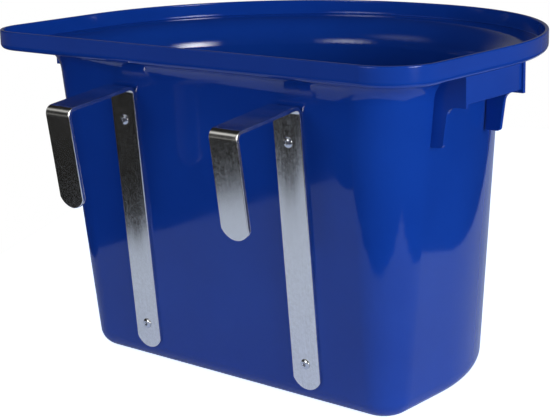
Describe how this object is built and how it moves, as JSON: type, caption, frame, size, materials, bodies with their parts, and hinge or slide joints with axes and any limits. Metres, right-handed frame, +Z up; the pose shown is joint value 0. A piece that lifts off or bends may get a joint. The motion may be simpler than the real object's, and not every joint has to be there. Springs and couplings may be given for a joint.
{
  "type": "hanging feed trough",
  "caption": "D-shaped moulded plastic feed tub with a flared rim, moulded side grips and flat steel hooks that hang it on a rail.",
  "frame": {"origin": "centre of the flat underside of the tub's floor, at the height that it stands on", "axes": "+Z up; +Y out of the straight back wall towards the rail it hangs on; +X towards the hook that is on the left when facing the back wall"},
  "size_m": [0.412, 0.3541, 0.267],
  "materials": {
    "tub_plastic": "injection-moulded blue polypropylene, semi-gloss",
    "hook_steel": "bright zinc-plated flat steel bar",
    "rivet_aluminium": "bright aluminium blind rivet body",
    "mandrel_steel": "zinc-plated steel rivet stem, broken end",
    "washer_steel": "zinc-plated steel backing washer"
  },
  "bodies": {
    "root": {"tub": "tub_plastic", "left_hook": "hook_steel", "left_lower_rivet": "rivet_aluminium", "left_lower_rivet_mandrel": "mandrel_steel", "left_lower_washer": "washer_steel", "left_upper_rivet": "rivet_aluminium", "left_upper_rivet_mandrel": "mandrel_steel", "left_upper_washer": "washer_steel", "right_hook": "hook_steel", "right_lower_rivet": "rivet_aluminium", "right_lower_rivet_mandrel": "mandrel_steel", "right_lower_washer": "washer_steel", "right_upper_rivet": "rivet_aluminium", "right_upper_rivet_mandrel": "mandrel_steel", "right_upper_washer": "washer_steel"}
  },
  "joints": []
}
